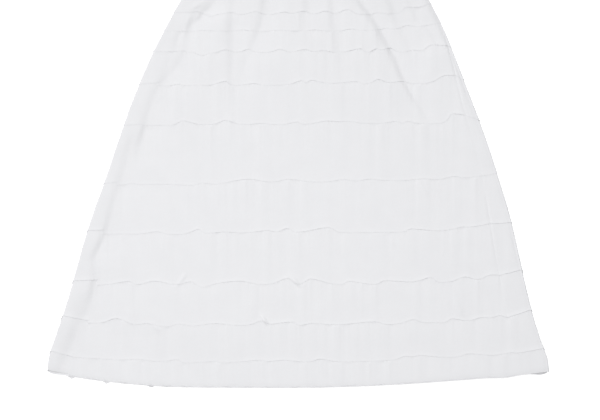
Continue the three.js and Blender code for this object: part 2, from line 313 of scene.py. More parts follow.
# Each fold: its far wall's share, and its points, which are below, x, depth and spread.
FOLDS = (
    Fold(3.0, table(
        FoldPoint,
        (30, -122, 1.6, 9), (92, -140, 3.0, 10), (106, -152, 3.2, 10), (122, -170, 2.8, 10),
        (140, -178, 2.2, 10), (165, -183, 1.6, 10), (190, -196, 1.5, 10), (228, -228, 1.8, 11),
        (259, -241, 2.0, 10), (280, -247, 2.2, 9), (296, -249, 2.8, 8), (320, -257, 2.0, 8),
        (336, -259, 1.2, 8), (356, -261, 0, 8),
    )),
    Fold(6.0, table(
        FoldPoint,
        (284, -262, 0, 9), (320, -273, 1.4, 9), (336, -277, 1.8, 10), (352, -281, 2.0, 10),
        (371, -287, 2.0, 10), (395, -294, 2.2, 10), (425, -302, 1.8, 9), (459, -311, 2.6, 8),
        (482, -321, 2.8, 8), (502, -330, 2.4, 8), (516, -329, 2.2, 8), (532, -327, 2.6, 9),
        (544, -330, 3.2, 10), (568, -336, 3.6, 10), (590, -341, 3.6, 11), (606, -344, 4.2, 12),
        (627, -347, 4.6, 14), (656, -357, 4.2, 15), (675, -366, 3.6, 14), (710, -374, 2.8, 13),
    )),
    Fold(2.0, table(
        FoldPoint,
        (556, -352, 0, 12), (586, -356, 1.4, 12), (604, -358, 2.6, 12), (620, -361, 3.2, 13),
        (645, -371, 3.0, 14), (672, -381, 2.8, 13), (710, -386, 2.4, 12),
    )),
    Fold(3.0, table(
        FoldPoint,
        (30, -150, 1.0, 8), (92, -160, 1.4, 9), (120, -176, 0.8, 9), (150, -196, 0.9, 9),
        (190, -210, 1.0, 9), (225, -222, 0, 9),
    )),
    Fold(3.0, table(
        FoldPoint,
        (30, -96, 1.8, 9), (92, -108, 2.2, 9), (130, -110, 3.0, 10), (165, -110, 2.2, 10),
        (215, -111, 1.5, 9), (250, -110, 1.0, 10), (290, -108, 0, 10),
    )),
    Fold(3.0, table(
        FoldPoint,
        (30, -44, 1.8, 9), (92, -58, 2.6, 9), (123, -62, 2.6, 9), (154, -74, 1.8, 9), (190, -88, 0.9, 9),
        (235, -100, 0, 9),
    )),
    Fold(3.0, table(
        FoldPoint,
        (30, 6, 1.6, 9), (92, 10, 1.8, 9), (120, 11, 1.2, 9), (150, 12, 0, 9),
    )),
    Fold(3.0, table(
        FoldPoint,
        (30, 38, 1.2, 9), (92, 50, 1.6, 9), (128, 54, 1.4, 9), (160, 60, 1.0, 9), (192, 63, 0.6, 9),
        (225, 66, 0, 9),
    )),
    Fold(3.0, table(
        FoldPoint,
        (30, 62, 3.0, 9), (88, 95, 4.8, 10), (115, 115, 5.2, 10.5), (147, 134, 5.0, 10),
        (179, 151, 4.4, 9), (203, 161, 4.2, 8), (224, 170, 3.4, 8), (251, 186, 2.4, 8),
        (272, 201, 1.2, 9), (296, 216, 0, 9),
    )),
    Fold(3.0, table(
        FoldPoint,
        (30, 112, 2.2, 9), (92, 144, 3.9, 10), (123, 156, 5.4, 12), (150, 169, 4.4, 12),
        (180, 178, 1.8, 10), (212, 186, 0, 9),
    )),
    Fold(3.0, table(
        FoldPoint,
        (30, 140, 1.4, 7), (92, 176, 2.2, 8), (115, 187, 2.4, 8), (136, 206, 2.0, 8), (150, 215, 1.4, 8),
        (172, 222, 0, 8),
    )),
)

CREASES = table(
    Crease,  # x0, below0, x1, below1, height, spread
    (-14, 527, 1, 545, 1.6, 2.6), (-61, 590, -51, 606, 2.1, 2.6), (-195, 547, -181, 527, 1.0, 3.2),
    (-236, 604, -222, 618, 0.7, 3.5), (-136, 116, -150, 108, 1.2, 3.0), (-176, 104, -152, 92, 1.3, 4.0),
    (-168, 122, -158, 112, 1.2, 3.0), (-184, 148, -176, 116, 0.9, 4.0), (-160, 176, -164, 128, 0.7, 5.0),
    (-116, 272, -104, 284, 0.9, 3.5), (142, 462, 152, 480, 0.6, 3.5), (190, 376, 206, 402, 0.7, 4.0),
    (246, 560, 262, 592, 0.7, 5.0), (300, 566, 312, 596, 0.6, 5.0),
)


def set_inputs(node: bpy.types.Node, values: dict[str, float | tuple[float, ...]]) -> None:
    """Set a node's own inputs, by their names."""
    for name, value in values.items():
        node.inputs[name].default_value = value


def add_object(name: str, data: bpy.types.ID) -> bpy.types.Object:
    """Put an object with this data in the scene."""
    thing = bpy.data.objects.new(name, data)
    bpy.context.scene.collection.objects.link(thing)
    return thing


def add_material(name: str) -> tuple[bpy.types.Material, bpy.types.Node]:
    """Make a material and give it back with its shader."""
    material = bpy.data.materials.new(name)
    material.use_nodes = True
    return material, material.node_tree.nodes["Principled BSDF"]


def bell(off: np.ndarray) -> np.ndarray:
    """A smooth bump, 1 in its middle and nearly gone at 2 to each side."""
    return np.exp(-(off**2))


def smooth_step(value: np.ndarray) -> np.ndarray:
    """Ease from 0 to 1 as value goes from 0 to 1."""
    t = np.clip(value, 0.0, 1.0)
    return t * t * (3.0 - 2.0 * t)


def smooth_table(at: np.ndarray, knots: np.ndarray, values: np.ndarray) -> np.ndarray:
    """Read a table on a smooth curve through its rows.

    Args:
        at: where to read it.
        knots: the rows' positions, rising.
        values: the rows' values.

    Returns:
        The values at those places, held at the table's ends.
    """
    at = np.clip(at, knots[0], knots[-1])
    i = np.clip(np.searchsorted(knots, at, side="right") - 1, 0, len(knots) - 2)
    low = np.maximum(np.arange(len(knots)) - 1, 0)
    high = np.minimum(np.arange(len(knots)) + 1, len(knots) - 1)
    slopes = (values[high] - values[low]) / (knots[high] - knots[low])
    step = knots[i + 1] - knots[i]
    t = (at - knots[i]) / step
    rise = values[i + 1] - values[i]
    start = slopes[i] * step
    end = slopes[i + 1] * step
    return values[i] + t * start + t**2 * (3 * rise - 2 * start - end) + t**3 * (start + end - 2 * rise)


@dataclass(frozen=True)
class Wave:
    """One of the waves that add up to fine gathers: its length, its start and how much of it there is."""

    length: float
    phase: float
    share: float


@dataclass
class SkirtPlan:
    """The skirt's shape in plan and the height of its upper face."""

    # Height of the upper face, and how far below the waist the gathers hold it up
    middle_height: float = 6.0
    side_height: float = 6.8
    waist_height: float = 9.6
    waist_side_height: float = 8.6
    gather_reach: float = 360.0
    side_reach: float = 190.0
    side_sharpness: int = 8
    # The lowest that folds may press it, and how sharply they stop there
    least_height: float = 1.9
    press_sharpness: int = 4
    # Settling towards the table over the last stretch above the hem
    settle_left: float = 2.6
    settle_right: float = 0.2
    settle_reach: float = 110.0
    hem_droop: float = 0.8
    droop_reach: float = 9.0
    # A tier's top, which runs up under the edge above it or under the waistband
    tuck: float = 6.0
    band_tuck: float = 0.5
    tuck_sink: float = 0.4
    sink: float = 0.28
    sink_reach: float = 14.0
    band_sink: float = 0.5
    # A tier's free edge
    lip_reach: float = 8.0
    hem_roll: float = 0.07
    roll_inset: float = 1.4
    roll_width: float = 1.2
    stand_share: float = 0.2
    lift_share: float = 0.12
    full_rise: float = 6.0
    # Thickness of the cloth
    full_cloth: float = 0.5
    edge_cloth: float = 0.24
    thin_reach: float = 5.0
    # Rounding of the sides, seen from above
    rim_left: float = 2.4
    rim_right: float = 2.4
    rim_right_top: float = 1.5
    rim_top_end: float = 120.0
    rim_top_fade: float = 60.0
    rim_under: float = 4.0
    # Troughs, the right seam's ditch and the roll off beside the rounds
    wall_shift: float = 0.7
    fold_share: float = 1.15
    ditch_width: float = 1.9
    roll_reach: float = 15.0
    # How far a crease runs past its two ends, as shares of its length
    crease_before: float = 0.3
    crease_after: float = 0.25
    # Fine gathers
    gather_seed: int = 7
    gather_lengths: tuple[float, ...] = (5.5, 7.0, 9.0, 12.0, 17.0, 24.0, 37.0)
    gather_height: float = 0.011
    gather_floor: float = 0.14
    gather_start: float = 4.0
    gather_fade: float = 10.0
    gather_fade_share: float = 1.3
    # Their drift: how far, its first wave's length, how much longer the next ones are, and its turn by tier
    drift: float = 0.35
    drift_length: float = 31.0
    drift_step: float = 7.0
    drift_turn: float = 2.1
    # Patches with fewer gathers: how much fewer, and the length and turn by tier of their two waves
    patch_share: float = 0.4
    patch_waves: tuple[tuple[float, float], ...] = ((41.0, 1.7), (23.0, 0.9))
    waves: list[Wave] = field(default_factory=list)

    def __post_init__(self) -> None:
        """Lay out the uneven waves that the fine gathers are made of."""
        draw = np.random.default_rng(self.gather_seed)
        for length in self.gather_lengths:
            uneven = length * draw.uniform(0.9, 1.1)
            self.waves.append(Wave(uneven, draw.uniform(0, 2 * math.pi), draw.uniform(0.6, 1.0)))

    def side_x(self, side: Side, below: np.ndarray) -> np.ndarray:
        """The outline's x on one side."""
        edge = column(OUTLINE, "left" if side is Side.LEFT else "right")
        return smooth_table(np.asarray(below, float), column(OUTLINE, "below"), edge)

    def seam_x(self, side: Side, below: np.ndarray) -> np.ndarray:
        """The side seam's x on one side."""
        inset = column(OUTLINE, "left_seam" if side is Side.LEFT else "right_seam")
        inset = smooth_table(np.asarray(below, float), column(OUTLINE, "below"), inset)
        return self.side_x(side, below) - side.value * inset

    def across(self, x: np.ndarray, below: float) -> np.ndarray:
        """How far across the skirt x lies, from -1 at the left side to 1 at the right."""
        left = self.side_x(Side.LEFT, below)
        right = self.side_x(Side.RIGHT, below)
        return np.clip(2 * (x - left) / (right - left) - 1, -1, 1)

    def crests(self, tier: int, x: np.ndarray, name: str) -> np.ndarray:
        """The rise or the lift of a tier's ripples at x, all of them added up."""
        total = np.zeros_like(x)
        for crest in EDGES[tier].crests:
            width = np.where(x < crest.at, crest.left, crest.right)
            total = total + getattr(crest, name) * bell((x - crest.at) / width)
        return total

    def crest_lift(self, tier: int, x: np.ndarray) -> np.ndarray:
        """How far the ripples lift a tier's edge off the tier below at x."""
        rise = np.maximum(self.crests(tier, x, "rise"), 0)
        return self.lift_share * rise / (1 + rise / self.full_rise) + self.crests(tier, x, "lift")

    def edge_below(self, tier: int, x: np.ndarray, rippled: bool = True) -> np.ndarray:
        """Where a tier's free edge lies.

        Args:
            tier: its number from the waist, or -1 for the waistband's lower edge.
            x: where across the skirt.
            rippled: whether its ripples are counted.

        Returns:
            The distance below the waist.
        """
        x = np.asarray(x, float)
        if tier < 0:
            return np.full_like(x, BAND_HEIGHT)
        edge = EDGES[tier]
        half_way_up = edge.centre - 0.5 * max(edge.left, edge.right, 0)
        across = self.across(x, half_way_up)
        left_rise = edge.left * abs(across) ** edge.left_bend
        right_rise = edge.right * abs(across) ** edge.right_bend
        line = edge.centre - np.where(across < 0, left_rise, right_rise)
        return line - self.crests(tier, x, "rise") if rippled else line

    def fold_depth(self, x: np.ndarray, below: np.ndarray) -> np.ndarray:
        """How deep the folds' troughs are."""
        total = np.zeros_like(x)
        for fold in FOLDS:
            knots = column(fold.points, "below")
            centre = smooth_table(below, knots, column(fold.points, "x"))
            depth = np.interp(below, knots, column(fold.points, "depth"))
            depth = np.where((below < knots[0]) | (below > knots[-1]), 0.0, depth)
            spread = np.interp(below, knots, column(fold.points, "spread"))
            off = x - centre - self.wall_shift * spread
            away = np.where(off < 0, off / spread, off / (fold.far * spread))
            total = total + self.fold_share * depth * bell(away)
        return total

    def crease_height(self, x: np.ndarray, below: np.ndarray) -> np.ndarray:
        """The short pinched creases above the tiers' edges."""
        total = np.zeros_like(x)
        for crease in CREASES:
            run = np.array([crease.x1 - crease.x0, crease.below1 - crease.below0])
            length = float(np.hypot(*run))
            across, down = run / length
            along = ((x - crease.x0) * across + (below - crease.below0) * down) / length
            off = (-(x - crease.x0) * down + (below - crease.below0) * across) / crease.spread
            start = smooth_step(along + self.crease_before)
            end = smooth_step((1 + self.crease_after - along) * 2)
            total = total + crease.height * start * end * bell(off)
        return total

    def height(self, x: np.ndarray, below: np.ndarray) -> np.ndarray:
        """Height of the skirt's upper face over the table, before tiers and ripples."""
        lifted = 1 - smooth_step((below - BAND_HEIGHT) / (self.gather_reach - BAND_HEIGHT))
        middle = self.middle_height + (self.waist_height - self.middle_height) * lifted
        side = self.side_top(below)
        left = self.seam_x(Side.LEFT, below)
        right = self.seam_x(Side.RIGHT, below)
        share = np.clip((x - left) / (right - left), 0, 1)
        to_side = np.abs(2 * share - 1) ** self.side_sharpness
        settled = self.settle_left + (self.settle_right - self.settle_left) * share
        settled = settled * smooth_step((below - LENGTH + self.settle_reach) / self.settle_reach)
        flat = middle + (side - middle) * to_side + self.crease_height(x, below) - settled
        drop = self.fold_depth(x, below) + self.ditch(x - right, below) + self.roll_off(x, below)
        pressed = 1 + (drop / (flat - self.least_height)) ** self.press_sharpness
        return flat - drop / pressed ** (1 / self.press_sharpness)

    def ditch(self, from_seam: np.ndarray, below: np.ndarray) -> np.ndarray:
        """How deep the stitching pulls the cloth in along the right seam."""
        depth = np.interp(below, column(RIGHT_SEAM_DITCH, "below"), column(RIGHT_SEAM_DITCH, "depth"))
        return depth * bell(from_seam / self.ditch_width)

    def roll_off(self, x: np.ndarray, below: np.ndarray) -> np.ndarray:
        """How far the cloth falls away beside the rounds at the sides."""
        total = np.zeros_like(x)
        for side, rows in ((Side.LEFT, LEFT_ROLL_OFF), (Side.RIGHT, RIGHT_ROLL_OFF)):
            near = np.clip(1 - side.value * (self.side_x(side, below) - x) / self.roll_reach, 0, 1)
            total = total + np.interp(below, column(rows, "below"), column(rows, "depth")) * near**2
        knots = column(RIGHT_EDGE_GROOVE, "below")
        depth, inset, width = (
            np.interp(below, knots, column(RIGHT_EDGE_GROOVE, name)) for name in ("depth", "inset", "width")
        )
        off = (self.side_x(Side.RIGHT, below) - x - inset) / width
        return total + depth * bell(off)

    def side_top(self, below: np.ndarray) -> np.ndarray:
        """Height of the cloth over the round at the sides."""
        lifted = 1 - smooth_step((below - BAND_HEIGHT) / (self.side_reach - BAND_HEIGHT))
        return self.side_height + (self.waist_side_height - self.side_height) * lifted

    def gathers(self, x: np.ndarray, past: np.ndarray, tier: int) -> np.ndarray:
        """Fine gathers that fan down from the stitched line above a tier.

        Args:
            x: where across the skirt.
            past: distance past the edge above.
            tier: the tier's number.

        Returns:
            Their height.
        """
        total = np.zeros_like(x)
        for k, wave in enumerate(self.waves):
            turn = x / (self.drift_length + self.drift_step * k) + self.drift_turn * tier
            drifted = x + self.drift * wave.length * np.sin(turn + wave.phase)
            reach = self.gather_fade + self.gather_fade_share * wave.length
            fade = self.gather_floor + (1 - self.gather_floor) * np.exp(-np.maximum(past, 0) / reach)
            height = self.gather_height * wave.share * wave.length * fade
            total = total + height * np.sin(2 * math.pi * drifted / wave.length + wave.phase + tier)
        patch = np.prod([np.sin(x / length + turn * tier) for length, turn in self.patch_waves], 0)
        start = smooth_step(past / self.gather_start)
        return total * start * (1 - self.patch_share + self.patch_share * patch)

    def tuck_of(self, tier: int) -> float:
        """How far a tier's top runs up out of sight."""
        return self.tuck if tier else self.band_tuck

    def sunk(self, tier: int, past: np.ndarray) -> np.ndarray:
        """How far a tier's top lies below the edge that covers it, at a distance past that edge."""
        hidden = self.tuck_sink * np.clip(-past / self.tuck, 0, 1)
        depth = hidden + self.sink * bell(np.maximum(past, 0) / self.sink_reach)
        return depth if tier else self.band_sink * depth

    def lip(self, lift: np.ndarray, to_end: np.ndarray, stand: float) -> np.ndarray:
        """How far a tier's free edge stands off, with its narrow rolled hem.

        Args:
            lift: how far the ripples lift the edge.
            to_end: distance from the edge.
            stand: how far it stands off between ripples.

        Returns:
            The height to add.
        """
        near = np.clip(1 - to_end / self.lip_reach, 0, 1)
        roll = self.hem_roll * bell((to_end - self.roll_inset) / self.roll_width)
        return (stand * self.stand_share + lift) * near**2 + roll

    def droop(self, tier: int, to_end: np.ndarray) -> np.ndarray:
        """How far the upper hem sags to the table at a distance from its edge."""
        if tier < len(EDGES) - 1:
            return np.zeros_like(to_end)
        return self.hem_droop * np.clip(1 - to_end / self.droop_reach, 0, 1) ** 2

    def cloth(self, to_end: np.ndarray) -> np.ndarray:
        """The cloth's thickness, finer towards a free edge."""
        inward = np.clip(to_end / self.thin_reach, 0, 1)
        return self.edge_cloth + (self.full_cloth - self.edge_cloth) * inward


@dataclass(frozen=True)
class CottonFinish:
    """Matt white cotton in a fine plain weave."""

    name: str
    colour: tuple[float, float, float]
    shade: tuple[float, float, float]
    thread: float = 0.00055
    weave_bump: float = 0.00005
    weave_distortion: float = 0.6
    slub_bump: float = 0.00012
    slub_scale: float = 420.0
    bump_strength: float = 0.5
    roughness: float = 0.9
    gloss: float = 0.15
    sheen: float = 0.12
    sheen_roughness: float = 0.5
    mottle_scale: float = 34.0
    mottle_range: tuple[float, float] = (0.3, 0.7)

    def build(self) -> bpy.types.Material:
        """Make the material.

        Returns:
            The material, with weave and slubs in its bump and a faint unevenness in its colour.
        """
        material, shader = add_material(self.name)
        nodes, links = material.node_tree.nodes, material.node_tree.links
        set_inputs(shader, {"Roughness": self.roughness, "Specular IOR Level": self.gloss})
        set_inputs(shader, {"Sheen Weight": self.sheen, "Sheen Roughness": self.sheen_roughness})
        place = nodes.new("ShaderNodeTexCoord")
        mottle = nodes.new("ShaderNodeTexNoise")
        set_inputs(mottle, {"Scale": self.mottle_scale, "Detail": 5.0, "Roughness": 0.55})
        links.new(place.outputs["Object"], mottle.inputs["Vector"])
        tint = nodes.new("ShaderNodeValToRGB")
        tints = (self.shade, self.colour)
        for element, at, colour in zip(tint.color_ramp.elements, self.mottle_range, tints):
            element.position = at
            element.color = (*colour, 1)
        links.new(mottle.outputs["Fac"], tint.inputs["Fac"])
        links.new(tint.outputs["Color"], shader.inputs["Base Color"])
        weave = nodes.new("ShaderNodeMath")
        weave.operation = "MAXIMUM"
        for socket, direction in zip(weave.inputs, ("X", "Y")):
            wave = nodes.new("ShaderNodeTexWave")
            wave.wave_type = "BANDS"
            wave.bands_direction = direction
            # A band of the wave texture is 2 pi / 20 of its scale
            scale = 2 * math.pi / (20 * self.thread)
            set_inputs(wave, {"Scale": scale, "Distortion": self.weave_distortion, "Detail": 1.0})
            links.new(place.outputs["Object"], wave.inputs["Vector"])
            links.new(wave.outputs["Fac"], socket)
        slub = nodes.new("ShaderNodeTexNoise")
        set_inputs(slub, {"Scale": self.slub_scale, "Detail": 3.0})
        links.new(place.outputs["Object"], slub.inputs["Vector"])
        fine, coarse = nodes.new("ShaderNodeBump"), nodes.new("ShaderNodeBump")
        set_inputs(fine, {"Strength": self.bump_strength, "Distance": self.weave_bump})
        set_inputs(coarse, {"Strength": self.bump_strength, "Distance": self.slub_bump})
        links.new(weave.outputs["Value"], fine.inputs["Height"])
        links.new(slub.outputs["Fac"], coarse.inputs["Height"])
        links.new(fine.outputs["Normal"], coarse.inputs["Normal"])
        links.new(coarse.outputs["Normal"], shader.inputs["Normal"])
        return material


@dataclass(frozen=True)
class FloorFinish:
    """A plain white studio floor, bright enough to lose its shadows."""

    name: str = "studio_white"
    colour: tuple[float, float, float] = (0.92, 0.92, 0.92)
    roughness: float = 0.95
    glow: float = 0.42

    def build(self) -> bpy.types.Material:
        """Make the material."""
        material, shader = add_material(self.name)
        set_inputs(shader, {"Base Color": (*self.colour, 1), "Roughness": self.roughness})
        set_inputs(shader, {"Specular IOR Level": 0.0, "Emission Color": (1, 1, 1, 1)})
        set_inputs(shader, {"Emission Strength": self.glow})
        return material


COTTON = CottonFinish("white_cotton", (0.83, 0.832, 0.85), (0.815, 0.817, 0.836))
BAND_COTTON = CottonFinish("waistband_cotton", (0.82, 0.822, 0.84), (0.80, 0.802, 0.822), thread=0.00065)
THREAD = CottonFinish("sewing_thread", (0.84, 0.842, 0.86), (0.80, 0.802, 0.822), thread=0.0002, sheen=0.2)


@dataclass
class Workshop:
    """Makes mesh objects and dresses them."""

    sharp_angle: float = math.radians(50)
    knot_shares: tuple[float, float] = (0.2, 0.8)
    materials: dict[str, bpy.types.Material] = field(default_factory=dict)

    def finish(self, finish: CottonFinish) -> bpy.types.Material:
        """The material of a finish, made once."""
        if finish.name not in self.materials:
            self.materials[finish.name] = finish.build()
        return self.materials[finish.name]

    def smooth(self, name: str, points: np.ndarray, faces: list, finish: CottonFinish) -> bpy.types.Object:
        """Make a mesh object and let it ride on the skirt's body.

        Args:
            name: its name.
            points: its corners, in millimetres with y up the skirt.
            faces: the corners' numbers, one row for each face.
            finish: what it is made of.

        Returns:
            The object, smooth all over.
        """
        mesh = bpy.data.meshes.new(name)
        mesh.from_pydata((points * MM).tolist(), [], faces)
        mesh.validate()
        mesh.update()
        mesh.shade_smooth()
        mesh.materials.append(self.finish(finish))
        thing = add_object(name, mesh)
        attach(thing, BODY)
        return thing

    def creased(
        self, name: str, points: np.ndarray, faces: np.ndarray, finish: CottonFinish
    ) -> bpy.types.Object:
        """Make a mesh object as smooth() does, but with sharp edges where its faces turn."""
        thing = self.smooth(name, points, faces.tolist(), finish)
        thing.data.set_sharp_from_angle(angle=self.sharp_angle)
        return thing

    def shell(
        self, name: str, upper: np.ndarray, lower: np.ndarray, finish: CottonFinish
    ) -> bpy.types.Object:
        """Make a closed shell between two matching grids of points.

        Args:
            name: its name.
            upper: rows by columns by xyz, whose faces look up where x runs right and rows run down.
            lower: the same grid on the other side of the cloth.
            finish: what it is made of.

        Returns:
            The object.
        """
        rows, columns = upper.shape[:2]
        number = np.arange(rows * columns).reshape(rows, columns)
        a, b = number[:-1, :-1].ravel(), number[:-1, 1:].ravel()
        c, d = number[1:, 1:].ravel(), number[1:, :-1].ravel()
        under = rows * columns
        rim = np.concatenate([number[0, :-1], number[:-1, -1], number[-1, :0:-1], number[:0:-1, 0]])
        turn = np.roll(rim, -1)
        faces = np.concatenate([
            np.stack([a, d, c, b], 1),
            np.stack([a, b, c, d], 1) + under,
            np.stack([rim, turn, turn + under, rim + under], 1),
        ])
        points = np.concatenate([upper.reshape(-1, 3), lower.reshape(-1, 3)])
        return self.creased(name, points, faces, finish)

    def stitches(self, name: str, ends: np.ndarray, thick: float, finish: CottonFinish) -> bpy.types.Object:
        """Make many short stitches as one mesh.

        Args:
            name: its name.
            ends: stitches by two ends by xyz, in millimetres.
            thick: how thick the thread is.
            finish: what it is made of.

        Returns:
            The object, each stitch a slim closed spindle.
        """
        start, end = ends[:, 0], ends[:, 1]
        along = (end - start) / np.linalg.norm(end - start, axis=1, keepdims=True)
        side = np.cross(along, np.array([0.0, 0.0, 1.0]))
        side = side / np.maximum(np.linalg.norm(side, axis=1, keepdims=True), 1e-9) * thick / 2
        up = np.cross(side, along)
        rings = [start]
        for share in self.knot_shares:
            middle = start + (end - start) * share
            rings += [middle + side, middle + up, middle - side, middle - up]
        rings.append(end)
        points = np.stack(rings, 1)
        one = [(0, 1 + i, 1 + (i + 1) % 4, 1 + (i + 1) % 4) for i in range(4)]
        one += [(1 + i, 5 + i, 5 + (i + 1) % 4, 1 + (i + 1) % 4) for i in range(4)]
        one += [(9, 5 + (i + 1) % 4, 5 + i, 5 + i) for i in range(4)]
        count = len(start)
        quads = (np.array(one)[None] + 10 * np.arange(count)[:, None, None]).reshape(-1, 4)
        faces = [tuple(dict.fromkeys(quad)) for quad in quads.tolist()]
        return self.smooth(name, points.reshape(-1, 3), faces, finish)


def y_at(below: np.ndarray) -> np.ndarray:
    """Model y of a distance below the waist."""
    return LENGTH / 2 - below


# A tier's rows of points: how many are hidden, how close they are below the edge above and how far that
# goes, how close they are further down, and how far from the free edge the last ones are
HIDDEN_ROWS = 3
FINE_ROW = 0.9
FINE_REACH = 9.0
COARSE_ROW = 3.2
END_ROWS = (0.0, 0.5, 1.0, 1.6, 2.3, 3.2, 4.4, 5.8, 7.4)


def row_marks(height: float, top: float, bottom: float) -> np.ndarray:
    """Where a tier's rows of points lie, close together at its edges.

    Args:
        height: from the edge above to the free edge.
        top: how far its hidden strip runs up.
        bottom: length of the strip at its free edge that gets close rows.

    Returns:
        Distances past the edge above, the last one at the free edge.
    """
    hidden = np.linspace(-top, 0, HIDDEN_ROWS)
    start = np.arange(FINE_ROW, FINE_REACH, FINE_ROW)
    end = height - np.array([*END_ROWS, bottom])[::-1]
    gap = max(end[0] - start[-1], 1.0)
    middle = start[-1] + np.linspace(0, gap, max(int(round(gap / COARSE_ROW)), 1) + 1)[1:-1]
    return np.concatenate([hidden, start, middle, end])


@dataclass
class Tier:
    """What the front and the back piece of one tier share."""

    plan: SkirtPlan
    tier: int
    fullness: float = 1.07

    def levels(self, start: np.ndarray, end: np.ndarray) -> tuple[float, np.ndarray]:
        """Lay out the piece's rows of points.

        Args:
            start: the edge above, at each column of points.
            end: the free edge, at each column of points.

        Returns:
            The tier's mean height, and its points' distances below the waist, rows by columns.
        """
        height = float(np.mean(end - start))
        marks = row_marks(height, self.plan.tuck_of(self.tier), self.plan.lip_reach)[:, None]
        return height, np.where(marks < 0, start + marks, start + marks / height * (end - start))

    def flat(self, width: float, height: float) -> tuple[float, float]:
        """The flat size of the piece's cloth, in metres."""
        return (width * self.fullness * MM, (height + self.plan.tuck) * MM)


@dataclass
class FrontTier(Tier):
    """The front piece of one tier, from seam to seam."""

    spacing: float = 1.8
    top_gathers: float = 1.8

    def build(self, shop: Workshop) -> bpy.types.Object:
        """Make the piece.

        Args:
            shop: what makes its mesh.

        Returns:
            The shell.
        """
        plan, tier = self.plan, self.tier
        edge = EDGES[tier]
        width = float(plan.seam_x(Side.RIGHT, edge.centre) - plan.seam_x(Side.LEFT, edge.centre))
        u = np.linspace(0, 1, int(width / self.spacing) + 1)
        start = self.line(tier - 1, u)
        end = self.line(tier, u)
        height, below = self.levels(start, end)
        x = plan.seam_x(Side.LEFT, below) * (1 - u) + plan.seam_x(Side.RIGHT, below) * u
        past = below - start
        z = plan.height(x, below) - plan.sunk(tier, past)
        z = z + plan.gathers(x, past, tier) * (1.0 if tier else self.top_gathers)
        lift = plan.crest_lift(tier, x[-1])
        to_end = np.maximum(end - below, 0)
        z = z + plan.lip(np.broadcast_to(lift, z.shape), to_end, edge.stand) - plan.droop(tier, to_end)
        upper = np.stack([x, y_at(below), z], -1)
        lower = upper.copy()
        lower[..., 2] -= plan.cloth(to_end)
        piece = shop.shell(f"front_ruffle_{tier + 1:02d}", upper, lower, COTTON)
        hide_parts(f"front_tier_{tier + 1:02d}")
        flat = self.flat(width, height)
        return piece

    def line(self, tier: int, u: np.ndarray) -> np.ndarray:
        """A free edge's distance below the waist, at shares from seam to seam."""
        level = EDGES[tier].centre if tier >= 0 else BAND_HEIGHT
        left = self.plan.seam_x(Side.LEFT, level)
        right = self.plan.seam_x(Side.RIGHT, level)
        return self.plan.edge_below(tier, left + (right - left) * u)


@dataclass(frozen=True)
class Station:
    """A place round a back piece: its stretch, the side that it counts from and how far along it is."""

    part: Part
    side: Side
    share: float


